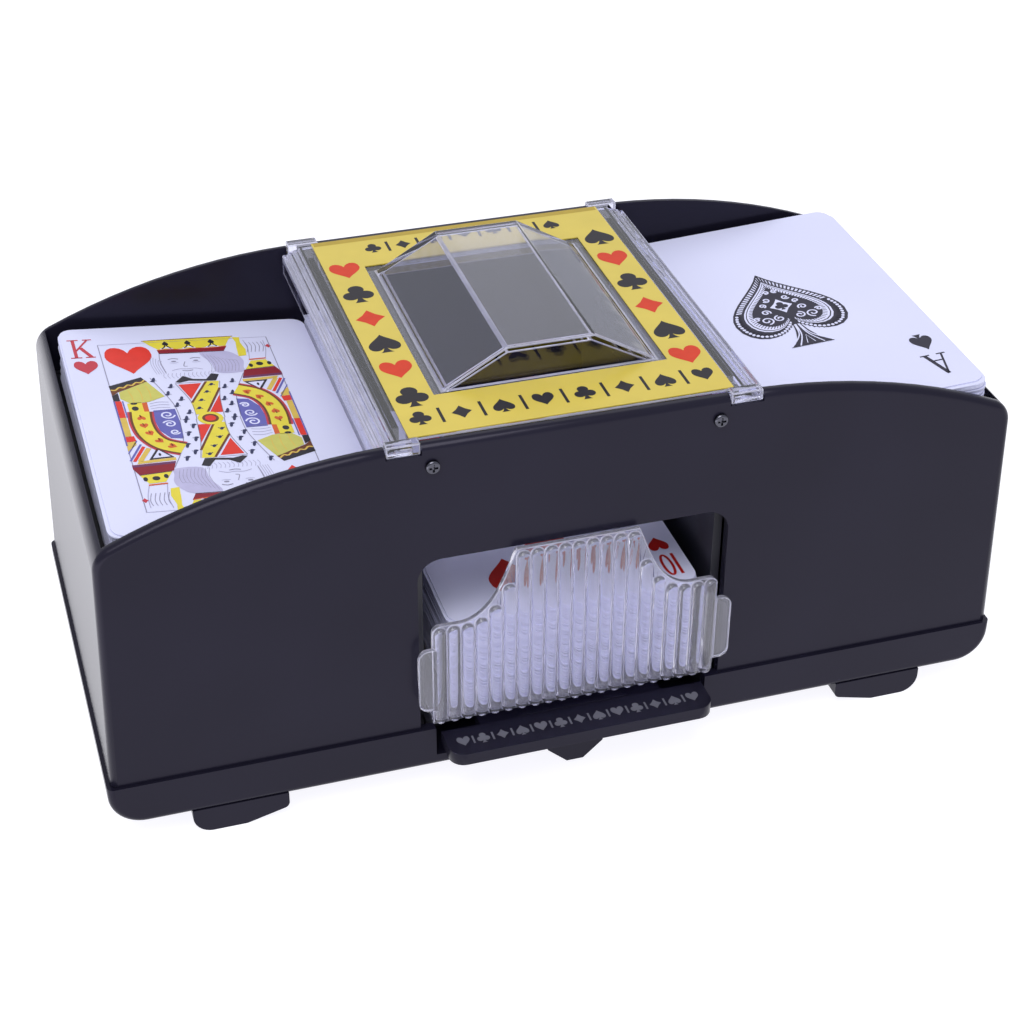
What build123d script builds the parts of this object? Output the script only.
"""Automatic playing-card shuffler: housing, clear cover and drawer, two roller drives, press bar, cells.

Frame: +X to the right, +Y to the back, +Z up, millimetres. The origin lies on the table surface,
under the middle of the whole footprint (housing plus the press bar that stands out in front).
Each part is modelled about the housing's own centre line and moved by footprint_shift at the end.
"""
from build123d import *
import os
from math import acos, cos, pi, radians, sin, sqrt, tan

# ---------------------------------------------------------------- driving dimensions
# outer casing
body_length = 213.8
body_width = 100.0
foot_height = 6.0
seam_z = 16.9            # where the shell sits on the base tray
crown_z = 92.3           # straight top edge of the front and back walls
crown_half = 38.0        # half length of that straight edge
arch_radius = 155.0      # the walls' top edge falls away on this radius
shoulder_half = 103.9    # half length of the shell at shoulder height
shoulder_z = 74.0
shoulder_radius = 6.0
lip_step = 0.8           # base tray stands proud of the shell by this much
wall = 2.4
lip_clear = 0.25
edge_round = 1.6

# base tray
base_floor_t = 2.0
base_corner_radius = 8.0
foot_inner_x = 67.1
foot_outer_x = 89.0
foot_flat_x = 77.0       # the underside slopes up from here inwards
foot_inner_z = 2.6       # its height at the inner end
foot_outer_corner = 4.5
foot_inner_corner = 1.6
foot_depth = 10.0
boss_x = 95.5            # screw bosses that join shell and base
boss_y = 40.0

# front opening and card well
opening_half = 36.0
opening_top_z = 63.15
opening_corner = 5.5
well_half = 34.0
well_wall = 2.0
well_back_y = 44.3
deck_plate_t = 1.6       # fixed plate that the drawer slides on
deck_front_y = -46.3

# card trays
tray_slope = 3.0         # degrees, falling towards the well
tray_inner_x = 41.0      # inner edge of a loaded deck
tray_inner_z = 64.15      # floor height there
tray_t = 2.0
slot_half_x = 9.5
slot_half_y = 7.0

# playing cards
card_w = 59.0
card_l = 88.0
card_corner = 3.5
left_deck_t = 10.2
right_deck_t = 15.5
stack_x = 1.5
stack_t = 23.4
deck_gap = 0.8           # deck rides this far above the tray floor, on the rollers

# clear cover
cover_half = 39.5
cover_edge_half = 43.6
cover_y = 46.3
cover_z = 91.1
cover_t = 1.4
dome_base_half = 25.0
dome_top_half = 10.0
dome_top_z = 101.0
dome_front_y = -29.4
dome_back_y = 28.5
dome_wall = 1.6
label_half = 36.3
label_front_y = -45.8
label_back_y = 46.0
label_t = 0.25
window_half = 26.7
window_front_y = -30.6
window_back_y = 31.2
corner_block_x0 = 34.6   # blocks that fill the notches in the walls
corner_block_x1 = 42.0
gate_x = 38.6
gate_t = 1.5
gate_bottom_z = 65.55
gate_step_z = 88.1       # the gate steps inwards here to pass the cover's edge
cover_screw_x = 32.2
cover_screw_z = 87.1

# drawer
comb_half = 33.4
comb_back_y = -49.8
comb_bottom_z = 19.4
comb_side_z = 46.3
comb_top_z = 63.5
comb_top_half = 14.2
comb_shoulder_half = 28.0
comb_corner = 1.8
flutes = 21
comb_plate_t = 1.3
ear_out = 3.5
ear_bottom_z = 24.0
ear_top_z = 41.0
drawer_floor_t = 1.4
drawer_back_y = 44.2

# press bar
bar_half = 31.5
bar_front_y = -59.6
bar_back_y = -50.2
bar_front_top_z = 16.0
bar_back_top_z = 15.9
bar_t = 3.1
lever_pivot_y = -20.0
lever_pivot_z = 13.2
lever_arm_half = 22.0
lever_pin_r = 1.5
lever_under_z = 12.6
spring_y = -33.0
switch_x = 11.0
switch_y = -40.0
tag_spread = 2.9         # solder tags each side of the switch's middle
tag_end_y = -34.5
tag_z = 8.75

# roller drive
roller_x = 50.0
roller_r = 12.0
roller_w = 12.0
roller_y = 18.0
roller_proud = 0.7       # roller stands this far above the tray floor
roller_shaft_r = 1.5
module = 0.6
pressure_angle = 25.0
backlash = 0.14
roller_teeth = 26
idler_small_teeth = 12
idler_big_teeth = 34
pinion_teeth = 10
idler_direction = -50.0  # degrees from +X, seen from the front on the right-hand side
pinion_direction = -10.0
gear_plate_y = 31.0
gear_plate_t = 3.0
gear_layer_a = 35.0
gear_layer_b = 38.7
gear_t = 3.0
motor_r = 10.0
motor_flat = 15.4
motor_l = 25.0
motor_shaft_r = 1.0
run_clear = 0.04         # radial running clearance of every journal

# cells
cell_r = 7.2
cell_l = 50.0
cell_pitch = 15.0
box_x0 = 42.6
box_x1 = 98.6
box_half_y = 32.0
box_t = 1.5
box_top_z = 25.0
door_t = 1.8
lead_r = 0.7           # insulated leads

# ---------------------------------------------------------------- derived places
base_x = body_length / 2
base_y = body_width / 2
shell_x = base_x - lip_step
shell_y = base_y - lip_step
base_floor_z = foot_height + base_floor_t
slope = tan(radians(tray_slope))
roller_z = tray_inner_z + (roller_x - tray_inner_x) * slope + roller_proud - roller_r
footprint_shift = (base_y - bar_front_y) / 2 - base_y  # centres the footprint on Y


def polar(centre, distance, angle):
    """Point at a distance and an angle in degrees from a centre in the XZ plane."""
    a = radians(angle)
    return (centre[0] + distance * cos(a), centre[1] + distance * sin(a))


roller_axis = (roller_x, roller_z)
idler_axis = polar(roller_axis, module * (roller_teeth + idler_small_teeth) / 2, idler_direction)
motor_axis = polar(idler_axis, module * (idler_big_teeth + pinion_teeth) / 2, pinion_direction)


# ---------------------------------------------------------------- small helpers
def block(xs, ys, zs):
    """Box between two coordinates on each axis."""
    size = [hi - lo for lo, hi in (xs, ys, zs)]
    middle = [(hi + lo) / 2 for lo, hi in (xs, ys, zs)]
    return Pos(*middle) * Box(*size)


def rod_y(axis, y0, y1, radius):
    """Cylinder along Y about an (x, z) axis."""
    return Pos(axis[0], (y0 + y1) / 2, axis[1]) * Rot(90, 0, 0) * Cylinder(radius, y1 - y0)


def rod_z(x, y, z0, z1, radius):
    """Upright cylinder."""
    return Pos(x, y, (z0 + z1) / 2) * Cylinder(radius, z1 - z0)


def rod_x(y, z, x0, x1, radius):
    """Cylinder along X."""
    return Pos((x0 + x1) / 2, y, z) * Rot(0, 90, 0) * Cylinder(radius, x1 - x0)


def prism_xz(points, y0, y1):
    """Straight-sided outline in XZ, given as (x, z), extruded from y0 to y1."""
    face = make_face(Polyline(*[(x, 0, z) for x, z in points], close=True))
    return Pos(0, y0, 0) * extrude(face, y1 - y0, dir=(0, 1, 0))


def prism_yz(points, x0, x1):
    """Straight-sided outline in YZ, given as (y, z), extruded from x0 to x1."""
    face = make_face(Polyline(*[(0, y, z) for y, z in points], close=True))
    return Pos(x0, 0, 0) * extrude(face, x1 - x0, dir=(1, 0, 0))


def both_sides(part):
    """The part and its mirror image in the YZ plane."""
    return part + mirror(part, Plane.YZ)


def front_and_back(part):
    """The part and its mirror image in the XZ plane."""
    return part + mirror(part, Plane.XZ)


def on_tray(part):
    """Lay a part that is built flat at the origin onto the right-hand tray's sloping floor."""
    return Pos(tray_inner_x, 0, tray_inner_z) * Rot(0, -tray_slope, 0) * part


# ---------------------------------------------------------------- casing
def arch_outline():
    """Closed XZ face of the shell's side view: upright ends, arched shoulders, straight crown."""
    arch_drop = arch_radius - sqrt(arch_radius**2 - (shoulder_half - crown_half) ** 2)
    middle_x = (shoulder_half + crown_half) / 2
    middle_drop = arch_radius - sqrt(arch_radius**2 - (middle_x - crown_half) ** 2)
    corner = (shoulder_half, 0, crown_z - arch_drop)
    top = (crown_half, 0, crown_z)
    middle = (middle_x, 0, crown_z - middle_drop)
    foot = (shell_x, 0, seam_z)

    def left(p):
        return (-p[0], p[1], p[2])

    edges = [
        Line(left(foot), foot),
        Line(foot, corner),
        ThreePointArc(corner, middle, top),
        Line(top, left(top)),
        ThreePointArc(left(top), left(middle), left(corner)),
        Line(left(corner), left(foot)),
    ]
    face = make_face(edges)
    corners = face.vertices().sort_by(lambda v: abs(abs(v.X) - shoulder_half))[:2]
    return fillet(corners, shoulder_radius)


def outer_shell():
    """Four walls: arched front and back, lower rolled ends, front opening, notches, screw bosses."""
    solid = extrude(arch_outline(), shell_y, both=True, dir=(0, 1, 0))
    rims = [
        e
        for e in solid.edges()
        if abs(abs(e.center().Y) - shell_y) < 0.01 and e.center().Z > seam_z + 1
    ]
    solid = fillet(rims, edge_round)
    inner_top = 120.0
    inside = prism_xz(
        [
            (-(shell_x - wall), seam_z - 1),
            (shell_x - wall, seam_z - 1),
            (shoulder_half - wall, shoulder_z),
            (shoulder_half - wall, inner_top),
            (-(shoulder_half - wall), inner_top),
            (-(shoulder_half - wall), shoulder_z),
        ],
        -(shell_y - wall),
        shell_y - wall,
    )
    solid -= inside
    opening = block((-opening_half, opening_half), (-base_y, -base_y + 6), (seam_z - 2, opening_top_z))
    top_edges = opening.edges().filter_by(Axis.Y).group_by(Axis.Z)[-1]
    solid -= fillet(top_edges, opening_corner)
    notch = block(
        (corner_block_x0 - 0.2, corner_block_x1 + 0.2),
        (shell_y - wall - 1, base_y),
        (cover_z - 1.0, crown_z + 2),
    )
    solid -= both_sides(front_and_back(notch))
    for x in (-cover_screw_x, cover_screw_x):
        solid -= rod_y((x, cover_screw_z), -base_y, base_y, 1.4)
    boss = block((93.0, shell_x - wall + 0.4), (36.4, shell_y - wall + 0.4), (seam_z + 2.6, 44.0))
    boss += rod_z(boss_x, boss_y, base_floor_z, seam_z + 3, 3.3)
    boss -= rod_z(boss_x, boss_y, base_floor_z - 1, 26.0, 1.25)
    solid += both_sides(front_and_back(boss))
    ledge_z = tray_inner_z - tray_t
    ledge = block((0, 44), (42.6, shell_y - wall + 0.4), (-4, -0.02))
    ledge = Pos(tray_inner_x + 8, 0, ledge_z + 8 * slope) * Rot(0, -tray_slope, 0) * ledge
    solid += both_sides(front_and_back(ledge))
    return solid


def base_tray():
    """Shallow tray under the shell, with its locating lip, lever lugs, spring post and four feet."""
    outer = block((-base_x, base_x), (-base_y, base_y), (foot_height, seam_z))
    ends = [
        e
        for e in outer.edges().filter_by(Axis.Y)
        if e.center().Z < foot_height + 0.1
    ]
    outer = fillet(ends, base_corner_radius)
    uprights = outer.edges().filter_by(Axis.Z)
    outer = fillet(uprights, edge_round)
    inner = block(
        (-(base_x - wall), base_x - wall), (-(base_y - wall), base_y - wall), (base_floor_z, seam_z + 5)
    )
    ends = [
        e
        for e in inner.edges().filter_by(Axis.Y)
        if e.center().Z < base_floor_z + 0.1
    ]
    inner = fillet(ends, base_corner_radius - wall)
    solid = outer - inner
    lip_x = shell_x - wall - lip_clear
    lip_y = shell_y - wall - lip_clear
    lip = block((-lip_x, lip_x), (-lip_y, lip_y), (seam_z - 1.5, seam_z + 2.0))
    lip -= block((-(lip_x - 1.2), lip_x - 1.2), (-(lip_y - 1.2), lip_y - 1.2), (seam_z - 3, seam_z + 3))
    lip += both_sides(front_and_back(block((lip_x - 1.2, base_x - 0.5), (20, 26), (seam_z - 1.5, seam_z))))
    lip += both_sides(front_and_back(block((60, 66), (lip_y - 1.2, base_y - 0.5), (seam_z - 1.5, seam_z))))
    lip += block((-66, 66), (lip_y - 1.2, base_y - 0.5), (seam_z - 1.5, seam_z))
    lip -= both_sides(block((-1, opening_half + 1.2), (-base_y - 1, -40), (seam_z - 3, seam_z + 3)))
    lip -= both_sides(front_and_back(block((92, 101.5), (35.5, lip_y + 0.5), (seam_z - 3, seam_z + 3))))
    solid += lip
    bar_recess = block((-(bar_half + 1.1), bar_half + 1.1), (-base_y - 1, -base_y + wall + 0.5), (9.2, 30))
    solid -= bar_recess
    lug = block((lever_arm_half - 4.6, lever_arm_half - 2.2), (-23.5, -16.5), (base_floor_z - 0.5, 15.0))
    solid += both_sides(lug)
    solid -= rod_x(lever_pivot_y, lever_pivot_z, -40, 40, lever_pin_r)
    solid += both_sides(front_and_back(foot()))
    hole = rod_z(boss_x, boss_y, foot_height - 1, base_floor_z + 1, 1.6)
    hole += rod_z(boss_x, boss_y, foot_height - 1, foot_height + 1.0, 3.1)
    solid -= both_sides(front_and_back(hole))
    door_hole = block((box_x0 + 1.7, box_x1 - 1.7), (-29.6, 29.6), (foot_height - 1, base_floor_z + 1))
    return solid - door_hole


def foot():
    """Right-hand back foot: a tab that deepens towards the end of the body, with round lower corners."""
    outline = [
        (foot_inner_x, foot_height + 0.5),
        (foot_inner_x, foot_inner_z),
        (foot_flat_x, 0.0),
        (foot_outer_x, 0.0),
        (foot_outer_x, foot_height + 0.5),
    ]
    tab = prism_xz(outline, base_y - foot_depth, base_y)
    outer_corner = [
        e
        for e in tab.edges().filter_by(Axis.Y)
        if e.center().Z < 1 and e.center().X > foot_outer_x - 0.1
    ]
    tab = fillet(outer_corner, foot_outer_corner)
    inner_corner = [
        e
        for e in tab.edges().filter_by(Axis.Y)
        if e.center().Z < foot_height and e.center().X < foot_inner_x + 0.1
    ]
    return fillet(inner_corner, foot_inner_corner)


def drawer_deck():
    """Fixed plate under the well that the drawer slides on, with two guide rails."""
    plate = block(
        (-well_half, well_half), (deck_front_y, well_back_y), (seam_z - deck_plate_t - 0.2, seam_z - 0.2)
    )
    plate -= block((-28, 28), (deck_front_y - 1, deck_front_y + 1.3), (0, 30))
    post = rod_z(30.0, 36.0, base_floor_z, seam_z - deck_plate_t, 3.0)
    return plate + both_sides(front_and_back(post))


# ---------------------------------------------------------------- trays
def right_tray():
    """Sloping card tray with roller slots, the wall of the well, bearing lugs and the gear plate."""
    inner_edge = -(tray_inner_x - well_half)
    outer_edge = shoulder_half - wall - 0.4 - tray_inner_x
    half_y = shell_y - wall - 0.05
    floor = block((inner_edge, outer_edge), (-half_y, half_y), (-tray_t, 0))
    floor += block((inner_edge + 4, outer_edge), (-half_y, -half_y + 1.2), (-0.5, 0.4))
    floor += block((inner_edge + 4, outer_edge), (half_y - 1.2, half_y), (-0.5, 0.4))
    slot = block(
        (roller_x - tray_inner_x - slot_half_x, roller_x - tray_inner_x + slot_half_x),
        (roller_y - slot_half_y, roller_y + slot_half_y),
        (-5, 5),
    )
    floor -= front_and_back(slot)
    solid = on_tray(floor)
    well_top = tray_inner_z - 7 * slope - 0.6
    solid += block((well_half, well_half + well_wall), (-half_y, half_y), (base_floor_z, well_top))
    solid -= block((well_half - 1, well_half + 3), (-half_y - 1, -half_y + 1.2), (0, opening_top_z - 0.4))
    lip_notch = block((well_half - 1, well_half + 3), (well_back_y, half_y + 1), (0, seam_z + 2.2))
    solid -= front_and_back(lip_notch)
    solid -= block((well_half - 1, well_half + 3), (-33, -23), (base_floor_z - 1, base_floor_z + 3))
    under = tray_inner_z - tray_t + 0.3
    lug = block((roller_x - 6, roller_x + 6), (-41, -38), (roller_z - 6, under))
    plate = block(
        (well_half + 1, motor_axis[0] + 12),
        (gear_plate_y, gear_plate_y + gear_plate_t),
        (motor_axis[1] - 12, under),
    )
    solid += lug + plate
    solid -= rod_y(roller_axis, -42, gear_plate_y + gear_plate_t + 1, 3.0)
    solid -= rod_y(idler_axis, gear_plate_y - 1, gear_plate_y + gear_plate_t + 1, 1.0)
    solid -= rod_y(motor_axis, gear_plate_y - 1, gear_plate_y + gear_plate_t + 1, 3.1)
    for dz in (-6.0, 6.0):
        place = (motor_axis[0], motor_axis[1] + dz)
        solid -= rod_y(place, gear_plate_y - 1, gear_plate_y + gear_plate_t + 1, 1.1)
    return solid


# ---------------------------------------------------------------- clear cover, label and gates
def top_cover():
    """Clear plate with a trapezoid viewing dome, stepped long edges, corner blocks and screw lugs."""
    plate = block((-cover_half, cover_half), (-cover_y, cover_y), (cover_z, cover_z + cover_t))
    top = cover_z + cover_t
    dome = prism_xz(
        [
            (-dome_base_half, top - 0.2),
            (dome_base_half, top - 0.2),
            (dome_top_half, dome_top_z),
            (-dome_top_half, dome_top_z),
        ],
        dome_front_y,
        dome_back_y,
    )
    ridges = dome.edges().filter_by(Axis.Y).group_by(Axis.Z)[-1]
    dome = fillet(ridges, 1.0)
    solid = plate + dome
    hollow = prism_xz(
        [
            (-(dome_base_half - 1.2), cover_z - 1),
            (dome_base_half - 1.2, cover_z - 1),
            (dome_base_half - 1.2 - 0.9, top - 0.4),
            (dome_top_half - 0.4, dome_top_z - dome_wall),
            (-(dome_top_half - 0.4), dome_top_z - dome_wall),
            (-(dome_base_half - 1.2 - 0.9), top - 0.4),
        ],
        dome_front_y + dome_wall,
        dome_back_y - dome_wall,
    )
    solid -= hollow
    steps = 3
    step_w = (cover_edge_half - cover_half) / steps
    edge = None
    for i in range(steps):
        x = cover_half + i * step_w
        z = cover_z + cover_t - 0.5 * (i + 1)
        strip = block((x - 0.6, x + step_w), (-cover_y + 0.6, cover_y - 0.6), (z - 1.7, z))
        edge = strip if edge is None else edge + strip
    edge += block(
        (cover_edge_half - 1.3, cover_edge_half),
        (-cover_y + 0.6, cover_y - 0.6),
        (cover_z - 5.2, cover_z - 1.6),
    )
    solid += both_sides(edge)
    corner = block(
        (corner_block_x0, corner_block_x1),
        (cover_y - 0.2, shell_y - 0.2),
        (cover_z - 0.8, cover_z + cover_t + 0.5),
    )
    lug = block(
        (cover_screw_x - 3.6, cover_screw_x + 3.6),
        (cover_y - 5.5, shell_y - wall - 0.05),
        (cover_screw_z - 3.4, cover_z + 0.2),
    )
    solid += both_sides(front_and_back(corner + lug))
    for x in (-cover_screw_x, cover_screw_x):
        solid -= rod_y((x, cover_screw_z), -base_y, -cover_y + 5.0, 1.1)
        solid -= rod_y((x, cover_screw_z), cover_y - 5.0, base_y, 1.1)
    return solid


def label_sheet():
    """Printed sheet stuck on the cover, with a window round the dome."""
    top = cover_z + cover_t
    sheet = block((-label_half, label_half), (label_front_y, label_back_y), (top, top + label_t))
    return sheet - block((-window_half, window_half), (window_front_y, window_back_y), (top - 1, top + 1))


def right_gate():
    """Clear gate that holds the deck back and lets the lowest card out underneath."""
    step_z = gate_step_z
    inner_x = gate_x - 1.6
    outline = [
        (gate_x - 1.0, gate_bottom_z),
        (gate_x + gate_t, gate_bottom_z),
        (gate_x + gate_t, step_z),
        (inner_x + gate_t, step_z + 1.2),
        (inner_x + gate_t, cover_z),
        (inner_x, cover_z),
        (inner_x, step_z),
        (gate_x, step_z - 1.2),
        (gate_x, gate_bottom_z + 2.0),
        (gate_x - 1.0, gate_bottom_z + 1.4),
    ]
    return prism_xz(outline, -40.2, 40.2)


# ---------------------------------------------------------------- drawer
def comb_height(x):
    """Height of the comb plate's top edge: low sides that sweep up ever steeper to a level middle."""
    run = (comb_shoulder_half - abs(x)) / (comb_shoulder_half - comb_top_half)
    return comb_side_z + min(max(run, 0.0), 1.0) ** 2.5 * (comb_top_z - comb_side_z)


def comb_plate():
    """Flat plate of the comb, with its swept top edge."""
    sweep_x = [comb_shoulder_half + (comb_top_half - comb_shoulder_half) * i / 4 for i in range(5)]
    rise = [(x, 0, comb_height(x)) for x in sweep_x]
    fall = [(-x, 0, z) for x, _, z in reversed(rise)]
    r = comb_corner
    corner = [
        (comb_half, 0, comb_side_z - r),
        (comb_half - r + r * cos(pi / 4), 0, comb_side_z - r + r * sin(pi / 4)),
        (comb_half - r, 0, comb_side_z),
    ]
    mirrored = [(-x, y, z) for x, y, z in reversed(corner)]
    foot_z = comb_bottom_z + 0.5
    face = make_face(
        [
            Line((-comb_half, 0, foot_z), (comb_half, 0, foot_z)),
            Line((comb_half, 0, foot_z), corner[0]),
            ThreePointArc(*corner),
            Line(corner[-1], rise[0]),
            Spline(*rise),
            Line(rise[-1], fall[0]),
            Spline(*fall),
            Line(fall[-1], mirrored[0]),
            ThreePointArc(*mirrored),
            Line(mirrored[-1], (-comb_half, 0, foot_z)),
        ]
    )
    return Pos(0, comb_back_y - comb_plate_t, 0) * extrude(face, comb_plate_t, dir=(0, 1, 0))


def card_drawer():
    """Clear L-shaped drawer: floor on two runners, back lip and a comb front of round-ended flutes."""
    pitch = 2 * comb_half / flutes
    radius = pitch / 2 - 0.05
    plate_front = comb_back_y - comb_plate_t
    floor_top = comb_bottom_z + 0.6
    floor_half = well_half - 0.7
    solid = comb_plate()
    floor_x = (-floor_half, floor_half)
    solid += block(floor_x, (comb_back_y - 0.4, drawer_back_y), (floor_top - drawer_floor_t, floor_top))
    solid += block(floor_x, (drawer_back_y - 1.4, drawer_back_y), (comb_bottom_z, comb_bottom_z + 4))
    runner = block((24.0, 26.0), (-44.0, drawer_back_y), (seam_z - 0.1, floor_top - 1.0))
    solid += both_sides(runner)
    for i in range(flutes):
        x = -comb_half + (i + 0.5) * pitch
        top = min(comb_height(abs(x) + pitch / 2) - 0.2, comb_top_z - 0.4)
        top = max(top, comb_side_z - 0.7)
        flute = rod_z(x, plate_front, comb_bottom_z + radius, top - radius, radius)
        flute += Pos(x, plate_front, top - radius) * Sphere(radius)
        flute += Pos(x, plate_front, comb_bottom_z + radius) * Sphere(radius)
        solid += flute & block((x - 2, x + 2), (plate_front - 3, plate_front + 0.3), (0, 80))
    ear_x = (comb_half - 1.0, comb_half + ear_out)
    ear = block(ear_x, (plate_front - 1.2, plate_front + 0.1), (ear_bottom_z, ear_top_z))
    tips = [
        e
        for e in ear.edges().filter_by(Axis.Y)
        if e.center().X > comb_half
    ]
    return solid + both_sides(fillet(tips, 2.4))


# ---------------------------------------------------------------- press bar and switch
def press_bar():
    """Bar with a sloping face and a grip nub, carried on an arm that turns on the lever pin."""
    section = [
        (bar_front_y, bar_front_top_z - bar_t),
        (bar_front_y, bar_front_top_z),
        (bar_back_y, bar_back_top_z),
        (bar_back_y, bar_back_top_z - bar_t),
    ]
    bar = prism_yz(section, -bar_half, bar_half)
    front_corners = [
        e
        for e in bar.edges()
        if e.center().Y < bar_front_y + 0.1 and abs(e.center().X) > bar_half - 0.1
    ]
    bar = fillet(front_corners, 3.6)
    ridge_z = (bar_back_top_z - bar_t, bar_back_top_z + 0.3)
    bar += block((-13.0, 13.0), (bar_back_y, bar_back_y + 0.8), ridge_z)
    nub_top = bar_front_top_z - bar_t + 0.3
    nub = prism_xz(
        [(-6.7, nub_top), (-6.7, 6.2), (-2.0, 1.9), (2.0, 1.9), (6.7, 6.2), (6.7, nub_top)], -52.6, -51.0
    )
    arm_back = lever_pivot_y + 3.2
    arm = block(
        (-lever_arm_half, lever_arm_half), (bar_back_y - 1, lever_pivot_y - 4.5), (lever_under_z, 14.9)
    )
    for x0, x1 in ((-lever_arm_half, -17.6), (-15.2, 15.2), (17.6, lever_arm_half)):
        inset = 0.2
        knuckle = block((x0 + inset, x1 - inset), (lever_pivot_y - 5.5, lever_pivot_y), (lever_under_z, 14.9))
        knuckle += rod_x(lever_pivot_y, lever_pivot_z, x0 + inset, x1 - inset, arm_back - lever_pivot_y - 1.5)
        arm += knuckle
    solid = bar + nub + arm
    lug_gap = block((17.2, 20.0), (lever_pivot_y - 4.2, 0), (0, 30))
    solid -= both_sides(lug_gap)
    return solid - rod_x(lever_pivot_y, lever_pivot_z, -40, 40, lever_pin_r + run_clear)


def lever_pin():
    """Steel pin through the lever and the base tray's two lugs."""
    reach = lever_arm_half + 1
    return rod_x(lever_pivot_y, lever_pivot_z, -reach, reach, lever_pin_r)


def coil_spring(x, y, z0, height, radius, wire, turns):
    """Upright compression spring with a round wire."""
    path = Helix(pitch=(height - wire) / turns, height=height - wire, radius=radius)
    section = Plane(origin=path @ 0, z_dir=path % 0) * Circle(wire / 2)
    return Pos(x, y, z0 + wire / 2) * sweep(section, path=path, is_frenet=True)


def switch_body():
    """Small push switch under the lever, with two solder tags."""
    body = block((switch_x - 4, switch_x + 4), (switch_y - 2.5, switch_y + 2.5), (base_floor_z, 10.9))
    body -= block((switch_x - 1.4, switch_x + 1.4), (switch_y - 1.3, switch_y + 1.3), (9.2, 12))
    for x in (switch_x - tag_spread, switch_x + tag_spread):
        body += block((x - 0.5, x + 0.5), (switch_y + 2.4, tag_end_y), (tag_z - 0.25, tag_z + 0.25))
    return body


def switch_plunger():
    """Plunger of the switch, just clear of the lever's underside at rest."""
    return block(
        (switch_x - 1.25, switch_x + 1.25),
        (switch_y - 1.15, switch_y + 1.15),
        (10.8, lever_under_z - 0.15),
    )


# ---------------------------------------------------------------- roller drive
def gear_outline(teeth, start_angle):
    """Spur gear face in XZ about the origin; one tooth is centred on start_angle (degrees)."""
    pitch_r = module * teeth / 2
    base_r = pitch_r * cos(radians(pressure_angle))
    tip_r = pitch_r + 0.75 * module
    root_r = pitch_r - 1.05 * module

    def involute(angle):
        return tan(angle) - angle

    def half_angle(r):
        at_pitch = pi / (2 * teeth) - backlash / (4 * pitch_r)
        flank = acos(base_r / max(r, base_r))
        return at_pitch + involute(radians(pressure_angle)) - involute(flank)

    points = []
    radii = (root_r, max(base_r, root_r + 0.05), pitch_r, tip_r)
    for tooth in range(teeth):
        centre = radians(start_angle) + tooth * 2 * pi / teeth
        points += [(r * cos(centre - half_angle(r)), 0, r * sin(centre - half_angle(r))) for r in radii]
        points += [(r * cos(centre + half_angle(r)), 0, r * sin(centre + half_angle(r))) for r in radii[::-1]]
    return make_face(Polyline(*points, close=True))


def gear(axis, teeth, y0, start_angle):
    """Spur gear about an (x, z) axis along Y."""
    solid = extrude(gear_outline(teeth, start_angle), gear_t, dir=(0, 1, 0))
    return Pos(axis[0], y0, axis[1]) * solid


def roller_shaft():
    """Steel shaft that carries the rollers and the roller gear."""
    return rod_y(roller_axis, -42.0, gear_layer_a + gear_t + 0.3, roller_shaft_r)


def rollers():
    """Two grooved rubber rollers on the shaft."""
    solid = None
    for y in (-roller_y, roller_y):
        tyre = rod_y(roller_axis, y - roller_w / 2, y + roller_w / 2, roller_r)
        tyre -= rod_y(roller_axis, y - roller_w, y + roller_w, roller_shaft_r)
        for groove in (-2.0, 2.0):
            ring = rod_y(roller_axis, y + groove - 0.5, y + groove + 0.5, roller_r + 1)
            tyre -= ring - rod_y(roller_axis, y - roller_w, y + roller_w, roller_r - 0.8)
        solid = tyre if solid is None else solid + tyre
    return solid


def roller_gear():
    """Gear on the end of the roller shaft."""
    solid = gear(roller_axis, roller_teeth, gear_layer_a, idler_direction)
    return solid - rod_y(roller_axis, 0, 60, roller_shaft_r)


def idler_gear():
    """Compound idler: the small wheel drives the roller gear, the large one is driven by the pinion."""
    small_start = idler_direction + 180 + 180 / idler_small_teeth
    solid = gear(idler_axis, idler_small_teeth, gear_layer_a, small_start)
    solid += rod_y(idler_axis, gear_layer_a + gear_t - 0.1, gear_layer_b + 0.1, 2.8)
    solid += gear(idler_axis, idler_big_teeth, gear_layer_b, pinion_direction)
    return solid - rod_y(idler_axis, 0, 60, motor_shaft_r + run_clear)


def idler_pin():
    """Steel pin of the idler, pressed into the gear plate, with a thin head."""
    pin = rod_y(idler_axis, gear_plate_y, gear_layer_b + gear_t + 0.6, motor_shaft_r)
    return pin + rod_y(idler_axis, gear_layer_b + gear_t + 0.2, gear_layer_b + gear_t + 0.8, 1.8)


def shaft_bushes():
    """Two plain bushes that the roller shaft runs in."""
    solid = None
    for y0, y1, flange in ((-41.0, -38.0, -38.0), (gear_plate_y, gear_plate_y + gear_plate_t, 30.2)):
        bush = rod_y(roller_axis, y0, y1, 3.0) + rod_y(roller_axis, flange, flange + 0.8, 4.2)
        bush -= rod_y(roller_axis, y0 - 3, y1 + 3, roller_shaft_r + run_clear)
        solid = bush if solid is None else solid + bush
    return solid


def motor_can():
    """Flat-sided motor can with its front bearing boss."""
    y1 = gear_plate_y
    can = rod_y(motor_axis, y1 - motor_l + 3, y1, motor_r)
    can &= block(
        (motor_axis[0] - 20, motor_axis[0] + 20),
        (0, 60),
        (motor_axis[1] - motor_flat / 2, motor_axis[1] + motor_flat / 2),
    )
    can += rod_y(motor_axis, y1 - 1, y1 + 1.8, 3.0)
    for dz in (-6.0, 6.0):
        can -= rod_y((motor_axis[0], motor_axis[1] + dz), y1 - 2.5, y1 + 1, 0.9)
    return can - rod_y(motor_axis, 0, 60, motor_shaft_r + run_clear)


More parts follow.
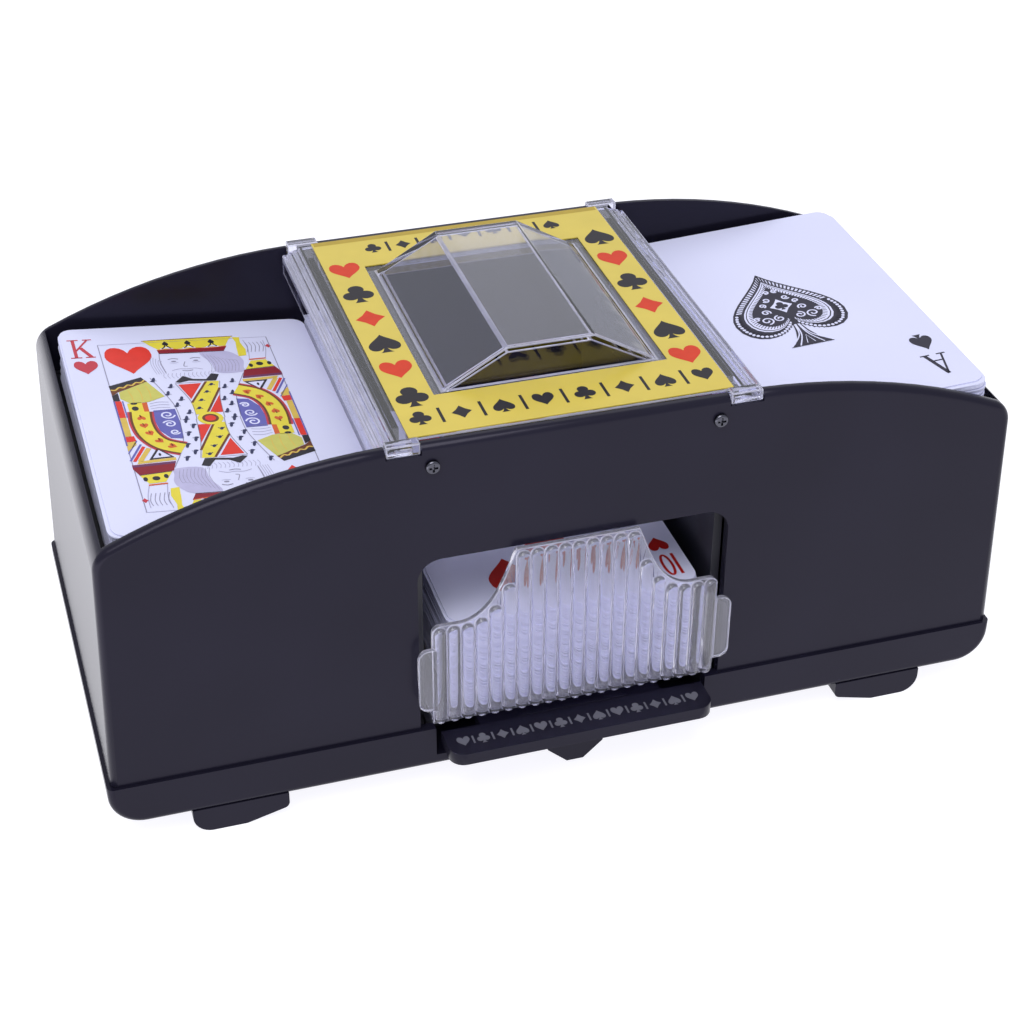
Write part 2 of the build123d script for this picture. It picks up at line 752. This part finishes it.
def motor_endcap():
    """Moulded end bell with its two solder tags."""
    y1 = gear_plate_y - motor_l + 3
    cap = rod_y(motor_axis, y1 - 3, y1, motor_r - 0.4)
    cap &= block(
        (motor_axis[0] - 20, motor_axis[0] + 20),
        (-20, 60),
        (motor_axis[1] - motor_flat / 2 + 0.4, motor_axis[1] + motor_flat / 2 - 0.4),
    )
    for dx in (-7.0, 7.0):
        x = motor_axis[0] + dx
        cap += block((x - 0.9, x + 0.9), (y1 - 6.0, y1 - 2.5), (motor_axis[1] - 0.25, motor_axis[1] + 0.25))
    return cap - rod_y(motor_axis, 0, 60, motor_shaft_r + run_clear)


def motor_shaft():
    """Motor shaft."""
    return rod_y(motor_axis, gear_plate_y - motor_l + 1, gear_layer_b + gear_t + 0.4, motor_shaft_r)


def motor_pinion():
    """Pinion on the motor shaft."""
    start = pinion_direction + 180 + 180 / pinion_teeth
    solid = gear(motor_axis, pinion_teeth, gear_layer_b, start)
    return solid - rod_y(motor_axis, 0, 60, motor_shaft_r)


def motor_screws():
    """Two screws through the gear plate into the motor."""
    solid = None
    for dz in (-6.0, 6.0):
        place = (motor_axis[0], motor_axis[1] + dz)
        screw = rod_y(place, gear_plate_y - 2.2, gear_plate_y + gear_plate_t, 0.9)
        screw += rod_y(place, gear_plate_y + gear_plate_t, gear_plate_y + gear_plate_t + 1.0, 1.8)
        solid = screw if solid is None else solid + screw
    return solid


# ---------------------------------------------------------------- cells
def battery_box():
    """Open-bottomed box over the door, with ribs between the four cells."""
    box = block((box_x0, box_x1), (-box_half_y, box_half_y), (base_floor_z, box_top_z))
    box -= block(
        (box_x0 + box_t, box_x1 - box_t),
        (-box_half_y + box_t, box_half_y - box_t),
        (base_floor_z - 1, box_top_z - box_t),
    )
    for y in (-cell_pitch, 0, cell_pitch):
        box += block((box_x0 + 8, box_x1 - 8), (y - 0.2, y + 0.2), (box_top_z - 5.5, box_top_z - 1))
    return box


def cell_y(i):
    """Centre of cell i across the box."""
    return (i - 1.5) * cell_pitch


def aa_cells():
    """Four AA cells side by side, alternately turned, each with its raised pole."""
    z = base_floor_z + 0.4 + cell_r
    solid = None
    for i in range(4):
        x0 = box_x0 + box_t + 2.4
        cell = rod_x(cell_y(i), z, x0, x0 + cell_l - 1.2, cell_r)
        pole = x0 + cell_l - 1.2 if i % 2 == 0 else x0 - 1.2
        cell += rod_x(cell_y(i), z, pole, pole + 1.2, 2.7)
        solid = cell if solid is None else solid + cell
    return solid


def battery_contacts():
    """Contact plates at both ends of the box, one behind each cell."""
    z = base_floor_z + 0.4 + cell_r
    solid = None
    for x0 in (box_x0 + box_t, box_x1 - box_t - 0.4):
        for i in range(4):
            plate = block((x0, x0 + 0.4), (cell_y(i) - 5.5, cell_y(i) + 5.5), (z - 5.5, z + 5.5))
            solid = plate if solid is None else solid + plate
    return solid


def battery_door():
    """Door in the underside: a plate with a round hinge edge on its inner side and finger grooves."""
    x0 = box_x0 + 1.7 + 0.15
    x1 = box_x1 - 1.7 - 0.15
    hinge = (x0 + door_t / 2, foot_height + door_t / 2)
    door = block((hinge[0], x1), (-29.4, 29.4), (foot_height, foot_height + door_t))
    door += rod_y(hinge, -29.4, 29.4, door_t / 2)
    for i in range(5):
        x = x1 - 6 - 2.0 * i
        door -= block((x, x + 0.8), (-8, 8), (foot_height - 1, foot_height + 0.5))
    return door


def lead(points, radii):
    """Insulated lead: straight runs joined by tangent arcs."""
    path = FilletPolyline(*points, radius=radii)
    section = Plane(origin=path @ 0, z_dir=path % 0) * Circle(lead_r)
    return sweep(section, path=path)


def battery_lead():
    """Lead from the switch to the battery box, under the lever and through the well's wall."""
    x = switch_x + tag_spread
    points = [(x, tag_end_y, tag_z), (x, -28.0, tag_z), (box_x0, -28.0, tag_z)]
    return lead(points, 3.2)


def left_motor_lead():
    """Lead from the switch across to the left-hand motor."""
    x = switch_x - tag_spread
    end_x = -motor_axis[0] + 7.0
    end_y = gear_plate_y - motor_l - 3
    points = [
        (x, tag_end_y, tag_z),
        (x, -27.6, tag_z),
        (-38.0, -27.6, tag_z),
        (end_x, -16.0, motor_axis[1]),
        (end_x, end_y, motor_axis[1]),
    ]
    return lead(points, [3.0, 8.0, 9.0])


def right_motor_lead():
    """Lead from the right-hand motor down to the battery box."""
    end_y = gear_plate_y - motor_l - 3
    x = motor_axis[0] - 7.0
    points = [(x, end_y, motor_axis[1]), (x, -7.0, motor_axis[1]), (x, -7.0, box_top_z)]
    return lead(points, 4.5)


# ---------------------------------------------------------------- fasteners
def screw(shank_r, shank_l, head_r, head_h):
    """Pan-head screw, head up at the origin, with a cross recess."""
    head = Cylinder(head_r, head_h, align=(Align.CENTER, Align.CENTER, Align.MIN))
    top = head.edges().group_by(Axis.Z)[-1]
    head = fillet(top, head_h * 0.55)
    shank = Pos(0, 0, 0.1) * Cylinder(shank_r, shank_l + 0.1, align=(Align.CENTER, Align.CENTER, Align.MAX))
    cross = Box(head_r * 1.2, 0.5, head_h) + Box(0.5, head_r * 1.2, head_h)
    return head + shank - Pos(0, 0, head_h) * cross


def cover_screws():
    """Four screws through the front and back walls into the cover's lugs."""
    front = Pos(cover_screw_x, -shell_y, cover_screw_z) * Rot(90, 0, 0) * screw(1.1, 6.4, 1.6, 1.0)
    return both_sides(front_and_back(front))


def base_screws():
    """Four screws that hold the base tray to the shell."""
    one = Pos(boss_x, boss_y, foot_height + 1.0) * Rot(180, 0, 0) * screw(1.25, 14.0, 2.8, 0.9)
    return both_sides(front_and_back(one))


# ---------------------------------------------------------------- cards
def card_block(thickness):
    """Squared-up pack of cards lying at the origin: inner edge at x 0, centred on Y."""
    pack = block((0, card_w), (-card_l / 2, card_l / 2), (0, thickness))
    return fillet(pack.edges().filter_by(Axis.Z), card_corner)


def right_deck():
    """Cards waiting in the right-hand tray."""
    return on_tray(Pos(0.4, 0, deck_gap) * card_block(right_deck_t))


def left_deck():
    """Cards waiting in the left-hand tray."""
    return mirror(on_tray(Pos(0.4, 0, deck_gap) * card_block(left_deck_t)), Plane.YZ)


def shuffled_stack():
    """Cards that lie shuffled in the drawer."""
    back = drawer_back_y - 1.7
    return Pos(stack_x - card_w / 2, back - card_l / 2, comb_bottom_z + 0.7) * card_block(stack_t)


# ---------------------------------------------------------------- assembly
def sided(name, builder):
    """The right-hand part and its left-hand mirror image."""
    right = builder()
    return {f"right_{name}": right, f"left_{name}": mirror(right, Plane.YZ)}


def build_parts():
    """Every node of the shuffler by name, about the housing's centre line."""
    parts = {
        "outer_shell": outer_shell(),
        "base_tray": base_tray(),
        "drawer_deck": drawer_deck(),
        "top_cover": top_cover(),
        "label_sheet": label_sheet(),
        "card_drawer": card_drawer(),
        "press_bar": press_bar(),
        "lever_pin": lever_pin(),
        "return_spring": coil_spring(0, spring_y, base_floor_z, lever_under_z - base_floor_z, 2.6, 0.5, 4),
        "switch_body": switch_body(),
        "switch_plunger": switch_plunger(),
        "battery_box": battery_box(),
        "battery_contacts": battery_contacts(),
        "aa_cells": aa_cells(),
        "battery_door": battery_door(),
        "battery_lead": battery_lead(),
        "left_motor_lead": left_motor_lead(),
        "right_motor_lead": right_motor_lead(),
        "cover_screws": cover_screws(),
        "base_screws": base_screws(),
        "left_deck": left_deck(),
        "right_deck": right_deck(),
        "shuffled_stack": shuffled_stack(),
    }
    for name, builder in (
        ("tray", right_tray),
        ("gate", right_gate),
        ("roller_shaft", roller_shaft),
        ("rollers", rollers),
        ("roller_gear", roller_gear),
        ("idler_gear", idler_gear),
        ("idler_pin", idler_pin),
        ("shaft_bushes", shaft_bushes),
        ("motor_can", motor_can),
        ("motor_endcap", motor_endcap),
        ("motor_shaft", motor_shaft),
        ("motor_pinion", motor_pinion),
        ("motor_screws", motor_screws),
    ):
        parts.update(sided(name, builder))
    return parts


os.makedirs("parts", exist_ok=True)
for node, part in build_parts().items():
    export_step(Pos(0, footprint_shift, 0) * part, f"parts/{node}.step")

print(f"footprint_shift {footprint_shift:.3f}  roller axis {roller_axis}")
print(f"idler axis {idler_axis}  motor axis {motor_axis}")
